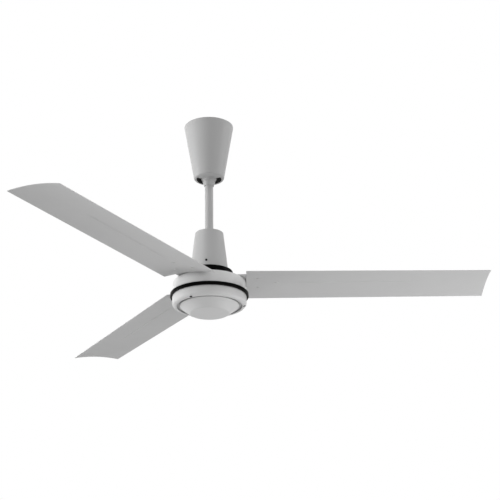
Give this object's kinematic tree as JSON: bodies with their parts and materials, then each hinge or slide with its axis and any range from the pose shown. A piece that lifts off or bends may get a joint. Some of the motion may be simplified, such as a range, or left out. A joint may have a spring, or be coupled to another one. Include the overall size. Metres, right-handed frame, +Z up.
{
  "type": "ceiling fan",
  "caption": "Ceiling fan on a short pipe: tapered canopies, round motor with a black band, cambered steel blades on twisted brackets.",
  "frame": {"origin": "on the ceiling, above the pipe's axis", "axes": "+Z up, out of the ceiling face; +X along the first blade"},
  "size_m": [1.1066, 1.2777, 0.5264],
  "materials": {
    "shell_enamel": "smooth satin enamel",
    "blade_enamel": "smooth satin enamel on sheet",
    "canopy_plastic": "satin moulded plastic",
    "rod_enamel": "smooth satin enamel on pipe",
    "black_gloss": "black gloss",
    "zinc_steel": "zinc-plated",
    "dark_screw": "blackened steel",
    "bush_rubber": "moulded rubber",
    "inner_plastic": "moulded plastic",
    "core_steel": "stacked sheet steel",
    "winding_copper": "enamelled copper wire",
    "cage_aluminium": "die cast",
    "bearing_steel": "ground"
  },
  "bodies": {
    "ceiling_mount": {"ceiling_bracket": "zinc_steel", "hanger_bolt": "zinc_steel", "hanger_nut": "zinc_steel", "hanger_split_pin": "zinc_steel"},
    "stem": {"hanger_bush": "bush_rubber", "downrod": "rod_enamel", "rod_coupling": "zinc_steel", "coupling_bolt": "zinc_steel", "coupling_nut": "zinc_steel", "coupling_split_pin": "zinc_steel", "canopy_carrier": "zinc_steel", "shaft_lock_nut": "zinc_steel", "capacitor": "inner_plastic", "capacitor_strap": "zinc_steel", "strap_screws": "zinc_steel", "terminal_block": "inner_plastic", "terminal_screws": "zinc_steel", "motor_shaft": "bearing_steel", "stator_core": "core_steel", "stator_windings": "winding_copper", "bearing_inner_rings": "bearing_steel"},
    "upper_canopy": {"upper_canopy": "canopy_plastic", "canopy_collar": "canopy_plastic", "collar_screw": "dark_screw"},
    "lower_canopy": {"lower_canopy": "canopy_plastic", "lower_canopy_screws": "dark_screw"},
    "rotor": {"upper_shell": "shell_enamel", "lower_shell": "shell_enamel", "motor_band": "black_gloss", "hub_cover": "black_gloss", "bottom_cap": "shell_enamel", "rotor_core": "core_steel", "rotor_cage": "cage_aluminium", "bearing_outer_rings": "bearing_steel", "blade_bracket_1": "blade_enamel", "blade_bracket_2": "blade_enamel", "blade_bracket_3": "blade_enamel", "blade_1": "blade_enamel", "blade_2": "blade_enamel", "blade_3": "blade_enamel", "bracket_screws": "zinc_steel", "blade_screws": "blade_enamel", "blade_nuts": "zinc_steel", "shell_screws": "dark_screw"},
    "bearing_cages": {"bearing_balls": "bearing_steel", "bearing_cages": "bearing_steel"}
  },
  "joints": [
    {"name": "hanger_swing", "type": "hinge", "parent": "ceiling_mount", "child": "stem", "pos_m": [0, 0, -0.03], "axis": [1, 0, 0], "range_deg": [-6, 6]},
    {"name": "rotor_spin", "type": "hinge", "parent": "stem", "child": "rotor", "pos_m": [0, 0, -0.479], "axis": [0, 0, 1], "continuous": true},
    {"name": "bearing_cage_spin", "type": "hinge", "parent": "stem", "child": "bearing_cages", "pos_m": [0, 0, -0.479], "axis": [0, 0, 1], "continuous": true},
    {"name": "upper_canopy_slide", "type": "slide", "parent": "stem", "child": "upper_canopy", "axis": [0, 0, 1], "range_m": [-0.055, 0]},
    {"name": "lower_canopy_slide", "type": "slide", "parent": "stem", "child": "lower_canopy", "axis": [0, 0, 1], "range_m": [0, 0.055]}
  ],
  "couplings": [
    {"joint": "bearing_cage_spin", "follows": "rotor_spin", "ratio": 0.62}
  ]
}
